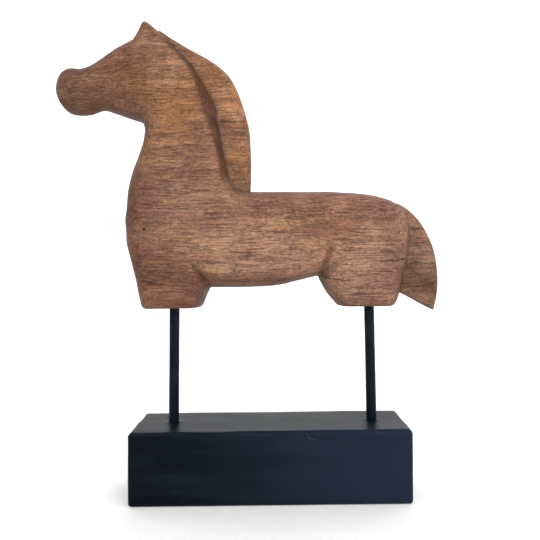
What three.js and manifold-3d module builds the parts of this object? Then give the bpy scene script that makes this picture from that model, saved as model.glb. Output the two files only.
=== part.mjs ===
// A carved wooden horse held over a black wooden block by two thin painted rods.
// Millimetres, +Z up. The origin is the middle of the block's underside, the muzzle points to -X,
// and the figure is the same on both sides of the XZ plane.
import * as THREE from 'three';
import { mergeVertices } from 'three/addons/utils/BufferGeometryUtils.js';
import Module from 'manifold-3d';

// The block
const BLOCK_LENGTH = 239;
const BLOCK_DEPTH = 86;
const BLOCK_HEIGHT = 62;
const BLOCK_EDGE_RADIUS = 2;
const BLOCK_CORNER_RADIUS = 1.5; // inside the edge radius, so corners are rounded by both together

// The rods
const ROD_DIAMETER = 9;
const ROD_SHOWN = 102.7; // from the top of the block to the soles
const ROD_CLEARANCE = 0.3; // round each rod and at its ends
const SOCKET_DEPTH_IN_BLOCK = 32;
const SOCKET_DEPTH_IN_LEG = 26;
const FRONT_ROD_LEAN = THREE.MathUtils.degToRad(1.0); // its top leans towards the tail
const REAR_ROD_LEAN = THREE.MathUtils.degToRad(-0.55); // its top leans towards the head

// The figure, from muzzle to tail
const FIGURE_LENGTH = 339;

// How finely everything is cut into facets
const ROD_SIDES = 32;
const CORNER_STEPS = 4;
const OUTLINE_STEPS = 4; // from each outline point to the next
const ROUNDING_LEVELS = [0.36, 0.62, 0.81, 0.92]; // shares of the width, where each rounding is cut
const BODY_FLATS = 6; // across the flat of each side
const SLAB_FLATS = 2;

// Below, the carving is given as masses seen from the side, in thousandths of the figure's length:
// x runs from head to tail and is 0 over the middle of the block; z is 0 at the soles.
// Each outline point is [x, z, how far in from here the edge is rounded, squareness of the rounding].
// A squareness of 2 is an ellipse, more is flatter, and less is closer to a chamfer.

// The facets follow these sections of the side view: [x and z at one edge, x and z at the other].
// From the muzzle over the head, down the neck and chest, round the forelegs, along the trunk and
// round the haunch. The first edge is the forehead, crest and back.
const BODY_SECTIONS = [
  [-559, 590, -559, 570], [-553, 609, -553, 547], [-542, 625, -543, 529], [-523, 632, -524, 513],
  [-494, 633, -498, 506], [-468, 640, -468, 509], [-440, 657, -438, 519], [-418, 672, -420, 514],
  [-398, 685, -402, 506], [-376, 697, -384, 499], [-358, 699, -370, 494], [-351, 694, -365, 492],
  [-348, 702, -361, 490], [-343, 711, -357, 488], [-337, 722, -353, 486], [-332, 734, -349, 484],
  [-325, 739, -345, 482], [-316, 738, -341, 480], [-304, 730, -338, 477], [-290, 720, -335, 474],
  [-272, 704, -332, 471], [-253, 683, -331, 468], [-219, 651, -330, 463], [-191, 616, -329, 458],
  [-171, 583, -329, 452], [-150, 548, -329, 446], [-133, 511, -331, 438], [-130, 478, -334, 428],
  [-124, 440, -339, 409], [-119, 405, -346, 386], [-113, 372, -356, 355], [-106, 340, -365, 326],
  [-96, 318, -372, 296], [-84, 308, -377, 262], [-74, 303, -378, 228], [-67, 302, -377, 196],
  [-63, 301, -373, 160], [-60, 301, -366, 126], [-57, 300, -357, 90], [-54, 300, -350, 56],
  [-51, 300, -344, 26], [-48, 300, -336, 6], [-45, 300, -322, 0], [-42, 300, -300, 0], [-38, 300, -270, 0],
  [-33, 300, -238, 0], [-28, 300, -212, 0], [-24, 300, -192, 1], [-20, 300, -181, 12], [-16, 300, -174, 28],
  [-11, 300, -166, 46], [-4, 300, -150, 52], [6, 299, -120, 51], [24, 299, -80, 51], [48, 298, -30, 52],
  [72, 298, 22, 55], [94, 298, 64, 66], [114, 297, 96, 74], [130, 297, 114, 78], [142, 297, 126, 68],
  [152, 297, 135, 50], [162, 297, 146, 31], [173, 297, 160, 13], [184, 296, 175, 0], [198, 295, 195, 0],
  [220, 293, 220, 0], [244, 289, 248, 0], [268, 284, 278, 0], [288, 278, 302, 0], [300, 273, 315, 3],
  [311, 268, 325, 14], [321, 262, 332, 34], [330, 254, 337, 62], [337, 244, 343, 90], [343, 232, 350, 118],
  [348, 218, 353, 144], [351, 204, 354, 166], [353, 192, 354, 182],
];

// Along the mane. The first edge is free, the second lies inside the neck.
const MANE_SECTIONS = [
  [-302, 722, -312, 705], [-280, 718, -304, 676], [-255, 705, -290, 655], [-234, 690, -268, 628],
  [-205, 674, -250, 600], [-181, 661, -230, 575], [-151, 642, -210, 540], [-126, 622, -196, 510],
  [-106, 598, -186, 485], [-88, 566, -178, 460], [-73, 527, -170, 440], [-62, 487, -165, 420],
  [-56, 448, -160, 400], [-54, 409, -155, 380], [-54, 380, -150, 358], [-55, 350, -145, 335],
  [-56, 318, -135, 312], [-57, 292, -118, 290],
];

// Down the tail. The first edge is free.
const TAIL_SECTIONS = [
  [290, 271, 272, 250], [310, 269, 272, 222], [338, 261, 276, 188], [363, 246, 280, 158],
  [389, 219, 283, 130], [409, 185, 286, 108], [424, 142, 290, 86], [431, 95, 294, 66], [431, 50, 300, 48],
  [422, 5, 306, 24], [412, -26, 316, 4],
];

// Head, neck, chest and trunk. The second row follows the groove in front of the mane.
const BODY_OUTLINE = [
  [-562, 580, 60, 2], [-557, 604, 60, 2], [-544, 623, 58, 2], [-523, 632, 55, 2], [-494, 629.5, 50, 2.1],
  [-468, 636, 46, 2.2], [-440, 652.5, 46, 2.2], [-400, 678.5, 46, 2.2], [-366, 695.5, 40, 2.2],
  [-335, 708, 34, 2.2], [-308, 713, 24, 2], [-284, 714, 12, 1.6], [-255, 684, 10, 1.6],
  [-219, 651, 12, 1.6], [-191, 616, 15, 1.6], [-171, 583, 19, 1.6], [-150, 548, 26, 1.6],
  [-133, 511, 34, 1.6], [-130, 478, 25, 1.6], [-121, 421, 19, 1.6], [-115, 386, 18, 1.6],
  [-110, 358, 18, 1.6], [-104, 332, 21, 1.7], [-93, 312, 32, 1.9], [-77, 303, 45, 2.1],
  [-50, 300, 58, 2.3], [0, 299, 62, 2.4], [48, 298, 62, 2.4], [100, 297, 62, 2.4], [160, 297, 62, 2.4],
  [226, 292, 60, 2.5], [268, 286, 56, 2.5], [296, 278, 50, 2.5], [318, 268, 42, 2.5], [335, 253, 32, 2.5],
  [347, 227, 28, 2.5], [353, 190, 30, 2.5], [354, 155, 32, 2.5], [352, 126, 32, 2.5], [344, 102, 40, 2.4],
  [318, 90, 50, 2.3], [270, 86, 56, 2.3], [216, 84, 60, 2.3], [160, 82, 62, 2.3], [118, 78, 62, 2.3],
  [72, 68, 62, 2.3], [30, 57, 60, 2.3], [-20, 52, 58, 2.3], [-84, 51, 56, 2.3], [-140, 51, 54, 2.3],
  [-190, 51, 50, 2.3], [-240, 52, 46, 2.3], [-290, 58, 44, 2.3], [-328, 74, 44, 2.4], [-353, 98, 46, 2.4],
  [-367, 138, 50, 2.5], [-374, 168, 50, 2.5], [-374.5, 200, 50, 2.5], [-374, 250, 50, 2.5],
  [-369.5, 303, 50, 2.5], [-359, 350, 48, 2.4], [-344, 393, 47, 2.3], [-333, 429, 46, 2.2],
  [-329, 450, 45, 2.2], [-328, 469, 44, 2.2], [-335, 485, 45, 2.2], [-352, 492, 45, 2.2],
  [-376, 500, 45, 2.2], [-408, 511.5, 45, 2.2], [-438, 519, 46, 2.2], [-468, 509, 50, 2.1],
  [-498, 506, 55, 2], [-525, 512, 58, 2], [-546, 531, 60, 2], [-559, 556, 60, 2],
];

// The forelegs are one block, whose back edge stands proud of the belly.
const FORELEG_OUTLINE = [
  [-322, -10, 16, 2.4], [-334, 0, 22, 2.4], [-341, 12, 30, 2.4], [-347, 39, 42, 2.5], [-353, 71, 48, 2.5],
  [-361, 104, 50, 2.5], [-368, 138, 50, 2.5], [-374, 168, 50, 2.5], [-374.5, 200, 50, 2.5],
  [-372, 240, 50, 2.5], [-340, 262, 50, 2.5], [-280, 255, 50, 2.5], [-225, 220, 40, 2.5],
  [-206, 168, 26, 2.5], [-197, 132, 18, 2.5], [-187, 104, 16, 2.5], [-173, 78, 16, 2.5],
  [-162, 60, 18, 2.5], [-166, 45, 24, 2.5], [-173, 31, 30, 2.4], [-179, 16, 30, 2.4], [-186, 2, 24, 2.4],
  [-196, -10, 16, 2.4],
];

// The haunch and the hind legs are one block too.
const HAUNCH_OUTLINE = [
  [184, -10, 18, 2.4], [171, 2, 30, 2.4], [161, 12, 40, 2.4], [145, 32, 56, 2.4], [130, 59, 64, 2.3],
  [123, 79, 66, 2.3], [129, 102, 64, 2.3], [138, 126, 62, 2.3], [150, 152, 60, 2.3], [168, 180, 56, 2.4],
  [196, 208, 50, 2.5], [240, 232, 50, 2.5], [288, 244, 44, 2.5], [320, 246, 36, 2.5], [338, 238, 30, 2.5],
  [349, 212, 28, 2.5], [354, 180, 30, 2.5], [354, 145, 32, 2.5], [349, 110, 34, 2.5], [340, 80, 38, 2.5],
  [335, 52, 40, 2.4], [331, 30, 36, 2.4], [323, 10, 26, 2.4], [312, -3, 20, 2.4], [303, -10, 16, 2.4],
];

// A thin slab stands along the crest of the neck.
const MANE_OUTLINE = [
  [-292, 728, 16, 2.2], [-259, 708, 18, 2.4], [-220, 683.5, 18, 2.4], [-181, 662.5, 18, 2.4],
  [-150, 643.5, 18, 2.4], [-124, 622, 18, 2.4], [-103, 599, 18, 2.4], [-85, 568, 18, 2.4],
  [-70, 528, 18, 2.4], [-59, 488, 18, 2.4], [-53, 448, 18, 2.4], [-51, 409, 18, 2.4], [-51, 357, 18, 2.4],
  [-52, 318, 18, 2.4], [-55, 290, 18, 2.4], [-72, 276, 18, 2.4], [-110, 280, 18, 2.4],
  [-140, 320, 18, 2.4], [-155, 380, 18, 2.4], [-168, 440, 18, 2.4], [-190, 500, 18, 2.4],
  [-220, 560, 18, 2.4], [-262, 620, 18, 2.4], [-300, 668, 18, 2.4], [-312, 705, 16, 2.2],
];

// The tail is a hanging slab.
const TAIL_OUTLINE = [
  [270, 270, 20, 2.4], [310, 270, 22, 2.4], [338, 262, 22, 2.4], [364, 244.5, 22, 2.4],
  [389, 218, 22, 2.4], [409, 184, 22, 2.4], [425, 142, 22, 2.4], [434, 95, 22, 2.4], [435, 50, 22, 2.4],
  [427, 3, 22, 2.4], [414, -36, 22, 2.4], [360, -34, 22, 2.4], [318, 0, 22, 2.4], [296, 60, 22, 2.4],
  [282, 140, 22, 2.4], [270, 220, 22, 2.4],
];
const TAIL_FOOT = [[300, 52], [418, -13]]; // it is cut off square along this line

// Both ears, seen from the side.
const EARS_OUTLINE = [
  [-351, 688, 8, 2.4], [-350, 696, 8, 2.4], [-343, 710, 8, 2.4], [-336, 726, 8, 2.4], [-331, 740, 8, 2.4],
  [-323, 745, 8, 2.4], [-313, 741, 8, 2.4], [-300, 731, 10, 2.4], [-286, 719, 16, 2.2],
  [-270, 700, 26, 2], [-262, 660, 30, 2], [-290, 630, 40, 2], [-330, 640, 24, 2],
];
const EAR_GAP_BOTTOM = 692;
const EAR_GAP_SLOPE = 0.5; // half of the gap's width over its depth
const EAR_GAP_FROM_TO = [-375, -296];
const EDGE_SEARCH = 14; // how far beyond a section's edges the mass may reach
const WIDEST = 110;
const DEEPEST_ROUNDING = 60;
const SMALLEST_FACET = 2.5;

// Half of the figure's width across, at places in the side view: [x, z, half width].
const BODY_WIDTHS = [
  [-555, 580, 40], [-520, 575, 47], [-480, 575, 47], [-440, 590, 51], [-390, 600, 59], [-340, 600, 66],
  [-300, 640, 67], [-300, 700, 60], [-260, 560, 68], [-220, 500, 70], [-240, 430, 76], [-180, 430, 73],
  [-250, 350, 84], [-150, 350, 82], [-300, 250, 90], [-200, 220, 91], [-100, 200, 91], [0, 180, 92],
  [120, 180, 92], [220, 180, 93], [300, 170, 92], [340, 170, 88], [-280, 100, 88], [-260, 0, 80],
  [240, 60, 91], [240, 0, 80], [300, 0, 78],
];
const WIDTH_SPREAD = 55; // how far each place's width reaches
const MANE_WIDTHS = [[-300, 715, 14], [-230, 690, 22], [-150, 600, 26], [-100, 480, 27], [-90, 320, 26]];
const TAIL_WIDTHS = [[320, 240, 36], [400, 180, 37], [400, 0, 31]];
const EAR_WIDTHS = [[-310, 640, 64], [-315, 690, 61], [-320, 742, 38]];
const LEG_STANDS_PROUD = 3; // at the foot of each leg; it sinks into the trunk higher up
const LEG_SINKS_FROM = 90;
const LEG_SINKS_BY = 0.09; // for each thousandth of height
const MASS_BLEND = 5; // how softly the legs run into the trunk

const FIGURE_SET_BACK = 8; // from the middle of the block
const FRONT_LEG_MIDDLE = -257;
const REAR_LEG_MIDDLE = 255;

const wasm = await Module();
wasm.setup();

const soleHeight = BLOCK_HEIGHT + ROD_SHOWN;
const figureSize = (share) => (share * FIGURE_LENGTH) / 1000;
const figurePoint = (x, z) => (
  new THREE.Vector3(figureSize(x + FIGURE_SET_BACK), 0, soleHeight + figureSize(z))
);

// A closed Catmull-Rom curve through the outline's points, with their roundings carried along.
function smoothOutline(points) {
  const corner = (i, k) => points[(i + points.length) % points.length][k];
  const along = (i, k, t) => {
    const [a, b, c, d] = [corner(i - 1, k), corner(i, k), corner(i + 1, k), corner(i + 2, k)];
    return b + 0.5 * t * (c - a + t * (2 * a - 5 * b + 4 * c - d + t * (3 * (b - c) + d - a)));
  };
  const steps = Array.from({ length: OUTLINE_STEPS }, (_, step) => step / OUTLINE_STEPS);
  return points.flatMap((_, i) => steps.map((t) => [0, 1, 2, 3].map((k) => along(i, k, t))));
}

// How far in from the outline a place is, as a share of the rounding there, and the squareness there.
// The share is 0 on the outline, 1 where the side becomes flat, and negative outside.
function placeInOutline(outline, x, z) {
  let share = Infinity;
  let squareness = 2;
  let inside = false;
  outline.forEach(([ax, az, aRounding, aSquareness], i) => {
    const [bx, bz, bRounding, bSquareness] = outline[(i + 1) % outline.length];
    const [dx, dz] = [bx - ax, bz - az];
    if (az > z !== bz > z && x < ax + (dx * (z - az)) / dz) {
      inside = !inside;
    }
    const t = THREE.MathUtils.clamp(((x - ax) * dx + (z - az) * dz) / (dx * dx + dz * dz), 0, 1);
    const rounding = THREE.MathUtils.lerp(aRounding, bRounding, t);
    const here = Math.hypot(x - ax - dx * t, z - az - dz * t) / rounding;
    if (here < share) {
      share = here;
      squareness = THREE.MathUtils.lerp(aSquareness, bSquareness, t);
    }
  });
  return { share: inside ? share : -share, squareness };
}

// The widths given nearby, each weighted by a bell curve of its distance.
function widthAt(widths, spread, x, z) {
  let sum = 0;
  let weights = 0;
  for (const [wx, wz, half] of widths) {
    const weight = Math.exp(-((x - wx) ** 2 + (z - wz) ** 2) / (2 * spread ** 2)) + 1e-9;
    sum += weight * half;
    weights += weight;
  }
  return sum / weights;
}

// One mass as a function of place: positive inside, zero on its surface, negative outside.
// Its cross-section is flat at the sides and turns in towards the outline as a superellipse.
function mass(points, halfWidth) {
  const outline = smoothOutline(points);
  const columns = new Map();
  return (x, y, z) => {
    const key = `${x.toFixed(3)} ${z.toFixed(3)}`;
    if (!columns.has(key)) {
      columns.set(key, { ...placeInOutline(outline, x, z), half: halfWidth(x, z) });
    }
    const { share, squareness, half } = columns.get(key);
    const sideways = Math.abs(y) / half;
    const inwards = Math.max(0, 1 - share);
    return half * (1 - (sideways ** squareness + inwards ** squareness) ** (1 / squareness));
  };
}

const softMax = (a, b) => Math.max(a, b) + Math.max(0, MASS_BLEND - Math.abs(a - b)) ** 2 / (4 * MASS_BLEND);

function figureMasses() {
  const bodyWidth = (x, z) => widthAt(BODY_WIDTHS, WIDTH_SPREAD, x, z);
  const legSunkBy = (z) => LEG_SINKS_BY * THREE.MathUtils.clamp(z - LEG_SINKS_FROM, 0, 200);
  const legWidth = (x, z) => bodyWidth(x, z) + LEG_STANDS_PROUD - legSunkBy(z);
  const trunk = mass(BODY_OUTLINE, bodyWidth);
  const foreleg = mass(FORELEG_OUTLINE, legWidth);
  const haunch = mass(HAUNCH_OUTLINE, legWidth);
  const ears = mass(EARS_OUTLINE, (x, z) => widthAt(EAR_WIDTHS, WIDTH_SPREAD / 2, x, z));
  const legs = (...at) => Math.max(foreleg(...at), haunch(...at));
  const maneWidth = (x, z) => widthAt(MANE_WIDTHS, WIDTH_SPREAD, x, z);
  const tailWidth = (x, z) => widthAt(TAIL_WIDTHS, WIDTH_SPREAD, x, z);
  return {
    body: {
      place: (...at) => softMax(Math.max(trunk(...at), ears(...at)), legs(...at)),
      width: bodyWidth,
      lowest: 0, // the soles
    },
    mane: { place: mass(MANE_OUTLINE, maneWidth), width: maneWidth, lowest: -Infinity },
    tail: { place: mass(TAIL_OUTLINE, tailWidth), width: tailWidth, lowest: -Infinity },
  };
}

// The largest share of the way from an inside place to an outside one that is still inside.
function lastInside(isInside, steps = 24) {
  let [low, high] = [0, 1];
  for (let i = 0; i < steps; i++) {
    const middle = (low + high) / 2;
    [low, high] = isInside(middle) ? [middle, high] : [low, middle];
  }
  return low;
}

// Each section as a straight line in the side view, from where the mass starts to where it ends.
function sectionLines(sections, { place, lowest }) {
  const [firstEdge, secondEdge] = [0, 2].map((k) => (
    new THREE.CatmullRomCurve3(sections.map((section) => new THREE.Vector3(section[k], 0, section[k + 1])))
  ));
  return sections.map((_, i) => {
    const edges = [firstEdge, secondEdge].map((curve) => curve.getPoint(i / (sections.length - 1)));
    const middle = edges[0].clone().lerp(edges[1], 0.5);
    return edges.map((edge) => {
      const beyond = middle.clone().lerp(edge, 1 + EDGE_SEARCH / middle.distanceTo(edge));
      return middle.clone().lerp(beyond, lastInside((share) => {
        const { x, z } = middle.clone().lerp(beyond, share);
        return z >= lowest && place(x, 0, z) > 0;
      }));
    });
  });
}

// How far in from the edge the mass reaches each level of its width, in order and evened out.
function roundingCuts(lines, edge, widthShare) {
  const cuts = lines.map((line) => {
    const middle = line[0].clone().lerp(line[1], 0.5);
    const reach = Math.min(DEEPEST_ROUNDING, line[edge].distanceTo(middle));
    const inwards = (share) => (
      line[edge].clone().lerp(middle, (share * reach) / line[edge].distanceTo(middle))
    );
    let last = 0;
    return ROUNDING_LEVELS.map((level) => {
      const narrower = (share) => widthShare(inwards(share)) < level;
      last = Math.max(last + SMALLEST_FACET, narrower(0) ? reach * lastInside(narrower, 16) : 0);
      return last;
    });
  });
  const evened = (rows) => rows.map((row, i) => row.map((cut, k) => (
    (rows[Math.max(0, i - 1)][k] + 2 * cut + rows[Math.min(rows.length - 1, i + 1)][k]) / 4
  )));
  return evened(evened(cuts));
}

// Facets both sides of a mass along its sections.
function facetedMass(sections, flats, shape) {
  const { place, width, lowest } = shape;
  const halfWidth = ({ x, z }) => WIDEST * lastInside((share) => place(x, share * WIDEST, z) > 0);
  const lines = sectionLines(sections, shape);
  const widthShare = (point) => halfWidth(point) / width(point.x, point.z);
  const cuts = [0, 1].map((edge) => roundingCuts(lines, edge, widthShare));
  const positions = lines.flatMap(([start, end], i) => {
    const length = start.distanceTo(end);
    const fits = Math.min(1, (0.47 * length) / Math.max(cuts[0][i].at(-1), cuts[1][i].at(-1)));
    const startCuts = cuts[0][i].map((cut) => start.clone().lerp(end, (fits * cut) / length));
    const endCuts = cuts[1][i].map((cut) => end.clone().lerp(start, (fits * cut) / length));
    const flat = Array.from({ length: flats }, (_, k) => (
      startCuts.at(-1).clone().lerp(endCuts.at(-1), (k + 1) / (flats + 1))
    ));
    const half = [start, ...startCuts, ...flat, ...endCuts.reverse(), end].map((point) => {
      const isEdge = (point === start || point === end) && point.z > lowest + 1;
      return [point.x, isEdge ? 0 : halfWidth(point), point.z];
    });
    return [...half.flat(), ...half.reverse().flatMap(([x, y, z]) => [x, -y, z])];
  });
  const rings = sections.length - 1;
  const around = positions.length / 3 / sections.length;
  const faces = [];
  for (let j = 0; j < around; j++) {
    const next = (j + 1) % around;
    for (let i = 0; i < rings; i++) {
      const a = i * around + j;
      const b = i * around + next;
      faces.push([a, b, a + around], [b, b + around, a + around]);
    }
  }
  for (let j = 1; j < around - 1; j++) {
    faces.push([0, j + 1, j], [rings * around, rings * around + j, rings * around + j + 1]);
  }
  return closedGeometry(positions, faces);
}

// Turns every face outwards: the sum of the tetrahedra from the origin is the volume.
function closedGeometry(positions, faces) {
  const geometry = new THREE.BufferGeometry();
  const placed = new Float32Array(positions.map((value, k) => {
    const axis = k % 3;
    return axis === 1 ? figureSize(value) : figurePoint(value, value).getComponent(axis);
  }));
  geometry.setAttribute('position', new THREE.BufferAttribute(placed, 3));
  const corner = (k) => new THREE.Vector3().fromArray(placed, 3 * k);
  const volume = faces.reduce((sum, [a, b, c]) => sum + corner(a).dot(corner(b).cross(corner(c))), 0);
  geometry.setIndex(faces.flatMap(([a, b, c]) => (volume > 0 ? [a, b, c] : [a, c, b])));
  return geometry;
}

function toSolid(geometry) {
  const bare = geometry.clone();
  bare.deleteAttribute('normal');
  bare.deleteAttribute('uv');
  const merged = mergeVertices(bare, 1e-4);
  const corners = [];
  for (let k = 0; k < merged.index.count; k += 3) {
    const [a, b, c] = merged.index.array.slice(k, k + 3);
    if (a !== b && b !== c && c !== a) {
      corners.push(a, b, c);
    }
  }
  return new wasm.Manifold(new wasm.Mesh({
    numProp: 3,
    vertProperties: new Float32Array(merged.attributes.position.array),
    triVerts: new Uint32Array(corners),
  }));
}

function toGeometry(solid) {
  const { vertProperties, triVerts } = solid.getMesh();
  const geometry = new THREE.BufferGeometry();
  geometry.setAttribute('position', new THREE.BufferAttribute(vertProperties, 3));
  geometry.setIndex(new THREE.BufferAttribute(triVerts, 1));
  geometry.computeVertexNormals();
  return geometry;
}

// A rod's axis starts in the middle of its leg and leans about that point on the sole.
function rodPlaces() {
  return [
    { name: 'front_rod', sole: figurePoint(FRONT_LEG_MIDDLE, 0), lean: FRONT_ROD_LEAN },
    { name: 'rear_rod', sole: figurePoint(REAR_LEG_MIDDLE, 0), lean: REAR_ROD_LEAN },
  ];
}

// An upright cylinder about the rod's axis, from below the sole to above it.
function rodCylinder(place, radius, below, above) {
  const geometry = new THREE.CylinderGeometry(radius, radius, below + above, ROD_SIDES);
  geometry.rotateX(Math.PI / 2);
  geometry.translate(0, 0, (above - below) / 2);
  geometry.rotateY(place.lean);
  geometry.translate(place.sole.x, place.sole.y, place.sole.z);
  return geometry;
}

function socketCylinder(place) {
  const radius = ROD_DIAMETER / 2 + ROD_CLEARANCE;
  return toSolid(rodCylinder(place, radius, ROD_SHOWN + SOCKET_DEPTH_IN_BLOCK, SOCKET_DEPTH_IN_LEG));
}

function blockGeometry() {
  const x = BLOCK_LENGTH / 2 - BLOCK_EDGE_RADIUS;
  const y = BLOCK_DEPTH / 2 - BLOCK_EDGE_RADIUS;
  const r = BLOCK_CORNER_RADIUS;
  const plan = new THREE.Shape();
  plan.absarc(x - r, y - r, r, 0, Math.PI / 2);
  plan.absarc(r - x, y - r, r, Math.PI / 2, Math.PI);
  plan.absarc(r - x, r - y, r, Math.PI, 1.5 * Math.PI);
  plan.absarc(x - r, r - y, r, 1.5 * Math.PI, 2 * Math.PI);
  plan.closePath();
  const block = new THREE.ExtrudeGeometry(plan, {
    depth: BLOCK_HEIGHT - 2 * BLOCK_EDGE_RADIUS,
    curveSegments: CORNER_STEPS,
    bevelThickness: BLOCK_EDGE_RADIUS,
    bevelSize: BLOCK_EDGE_RADIUS,
    bevelSegments: CORNER_STEPS,
  });
  block.translate(0, 0, BLOCK_EDGE_RADIUS);
  return block;
}

function drilledBlock(places) {
  let block = toSolid(blockGeometry());
  for (const place of places) {
    block = block.subtract(socketCylinder(place));
  }
  return toGeometry(block);
}

// A box whose top face lies along the foot of the tail.
function belowTheTail() {
  const [start, end] = TAIL_FOOT.map(([x, z]) => figurePoint(x, z));
  const tilt = THREE.MathUtils.radToDeg(Math.atan2(end.z - start.z, end.x - start.x));
  const box = wasm.Manifold.cube([80, 60, 40]).translate([0, -30, -40]);
  return box.rotate([0, -tilt, 0]).translate(start.toArray());
}

// A wedge standing on its edge along the middle of the head, between the ears.
function gapBetweenEars() {
  const [x0, x1] = EAR_GAP_FROM_TO;
  const top = EAR_GAP_BOTTOM + 100;
  const corners = [x0, x1].flatMap((x) => [
    figurePoint(x, EAR_GAP_BOTTOM),
    figurePoint(x, top).setY(figureSize(-100 * EAR_GAP_SLOPE)),
    figurePoint(x, top).setY(figureSize(100 * EAR_GAP_SLOPE)),
  ]);
  return wasm.Manifold.hull(corners.map((corner) => corner.toArray()));
}

function carvedHorse(places) {
  const masses = figureMasses();
  let horse = toSolid(facetedMass(BODY_SECTIONS, BODY_FLATS, masses.body))
    .subtract(gapBetweenEars())
    .add(toSolid(facetedMass(MANE_SECTIONS, SLAB_FLATS, masses.mane)))
    .add(toSolid(facetedMass(TAIL_SECTIONS, SLAB_FLATS, masses.tail)).subtract(belowTheTail()));
  for (const place of places) {
    horse = horse.subtract(socketCylinder(place));
  }
  return toGeometry(horse);
}

const blackPaint = new THREE.MeshStandardMaterial({ color: '#1b2027', roughness: 0.45, metalness: 0 });
const rodPaint = new THREE.MeshStandardMaterial({ color: '#12161c', roughness: 0.4, metalness: 0.2 });
const brownWood = new THREE.MeshStandardMaterial({ color: '#8a6450', roughness: 0.75, metalness: 0 });

function namedMesh(name, geometry, material) {
  const mesh = new THREE.Mesh(geometry, material);
  mesh.name = name;
  return mesh;
}

const figure = new THREE.Group();
const places = rodPlaces();
figure.add(namedMesh('block', drilledBlock(places), blackPaint));
figure.add(namedMesh('horse', carvedHorse(places), brownWood));
for (const place of places) {
  const below = ROD_SHOWN + SOCKET_DEPTH_IN_BLOCK - ROD_CLEARANCE;
  const rod = rodCylinder(place, ROD_DIAMETER / 2, below, SOCKET_DEPTH_IN_LEG - ROD_CLEARANCE);
  figure.add(namedMesh(place.name, rod, rodPaint));
}

export default figure;
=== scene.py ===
# A carved wooden horse held over a black block by two thin rods.
import math

import bpy
import numpy as np
import openvdb
from mathutils import Matrix, Vector


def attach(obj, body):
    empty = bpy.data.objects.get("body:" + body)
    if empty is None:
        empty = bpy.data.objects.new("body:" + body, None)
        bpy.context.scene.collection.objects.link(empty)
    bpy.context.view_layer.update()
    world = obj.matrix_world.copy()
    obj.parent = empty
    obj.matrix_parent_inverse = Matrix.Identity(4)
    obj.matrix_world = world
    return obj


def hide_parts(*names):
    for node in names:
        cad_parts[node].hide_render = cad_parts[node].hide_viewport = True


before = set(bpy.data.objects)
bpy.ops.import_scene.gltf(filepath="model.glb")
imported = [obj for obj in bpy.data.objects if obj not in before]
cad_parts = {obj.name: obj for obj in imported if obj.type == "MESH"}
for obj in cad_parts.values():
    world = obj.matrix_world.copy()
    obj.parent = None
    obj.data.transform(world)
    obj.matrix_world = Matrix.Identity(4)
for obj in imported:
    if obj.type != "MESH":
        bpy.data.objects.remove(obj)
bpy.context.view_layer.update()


# Meshes

def meshPiece(name, points, faces, paint, attributes=None):
    # a smooth mesh of quads from arrays of corners, with one number per corner for each attribute
    mesh = bpy.data.meshes.new(name)
    mesh.vertices.add(len(points))
    mesh.vertices.foreach_set("co", np.asarray(points, dtype=np.float32).ravel())
    mesh.loops.add(faces.size)
    mesh.loops.foreach_set("vertex_index", np.asarray(faces, dtype=np.int32).ravel())
    mesh.polygons.add(len(faces))
    mesh.polygons.foreach_set("loop_start", np.arange(0, faces.size, faces.shape[1], dtype=np.int32))
    mesh.update(calc_edges=True)
    mesh.validate()
    for key, values in (attributes or {}).items():
        layer = mesh.attributes.new(key, "FLOAT", "POINT")
        layer.data.foreach_set("value", np.asarray(values, dtype=np.float32))
    mesh.polygons.foreach_set("use_smooth", np.ones(len(mesh.polygons), dtype=bool))
    mesh.materials.append(paint)
    piece = bpy.data.objects.new(name, mesh)
    bpy.context.scene.collection.objects.link(piece)
    return piece


def softNoise(points, cell, seed):
    # values on a lattice of random numbers, blended smoothly in each cell: between -1 and 1
    table = np.random.RandomState(seed).uniform(-1, 1, (32, 32, 32))
    scaled = np.asarray(points) / cell
    low = np.floor(scaled).astype(int)
    part = scaled - low
    part = part * part * (3 - 2 * part)
    total = 0
    for corner in np.ndindex(2, 2, 2):
        weight = np.prod(np.where(np.array(corner) == 1, part, 1 - part), axis=-1)
        at = (low + corner) % 32
        total = total + weight * table[at[..., 0], at[..., 1], at[..., 2]]
    return total


def smoothStep(low, high, value):
    # 0 at low, 1 at high, smooth in between
    part = np.clip((value - low) / (high - low), 0, 1)
    return part * part * (3 - 2 * part)


def segmentDistance(x, z, ax, az, bx, bz):
    # how far each place is from a straight line between two points
    dx, dz = bx - ax, bz - az
    along = np.clip(((x - ax) * dx + (z - az) * dz) / (dx * dx + dz * dz), 0, 1)
    return np.hypot(x - ax - dx * along, z - az - dz * along), along


# Materials

class Wire:  # a socket of a material; sums and products of wires add Math nodes
    def __init__(self, paint, socket):
        self.paint, self.socket = paint, socket

    def maths(self, operation, *values):
        return self.paint.node("ShaderNodeMath", {"operation": operation}, dict(enumerate(values)))

    def __add__(self, other):
        return self.maths("ADD", self, other)

    def __sub__(self, other):
        return self.maths("SUBTRACT", self, other)

    def __mul__(self, other):
        return self.maths("MULTIPLY", self, other)

    def __truediv__(self, other):
        return self.maths("DIVIDE", self, other)

    def __pow__(self, other):
        return self.maths("POWER", self, other)

    def __rsub__(self, other):
        return self.maths("SUBTRACT", other, self)

    __radd__, __rmul__ = __add__, __mul__

    def size(self):
        return self.maths("ABSOLUTE", self)

    def most(self, other):
        return self.maths("MAXIMUM", self, other)

    def between(self, low, high):  # 0 below low, 1 above high, smooth in between
        return self.paint.node("ShaderNodeMapRange", {"interpolation_type": "SMOOTHSTEP"},
                               {"Value": self, "From Min": low, "From Max": high})


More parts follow.
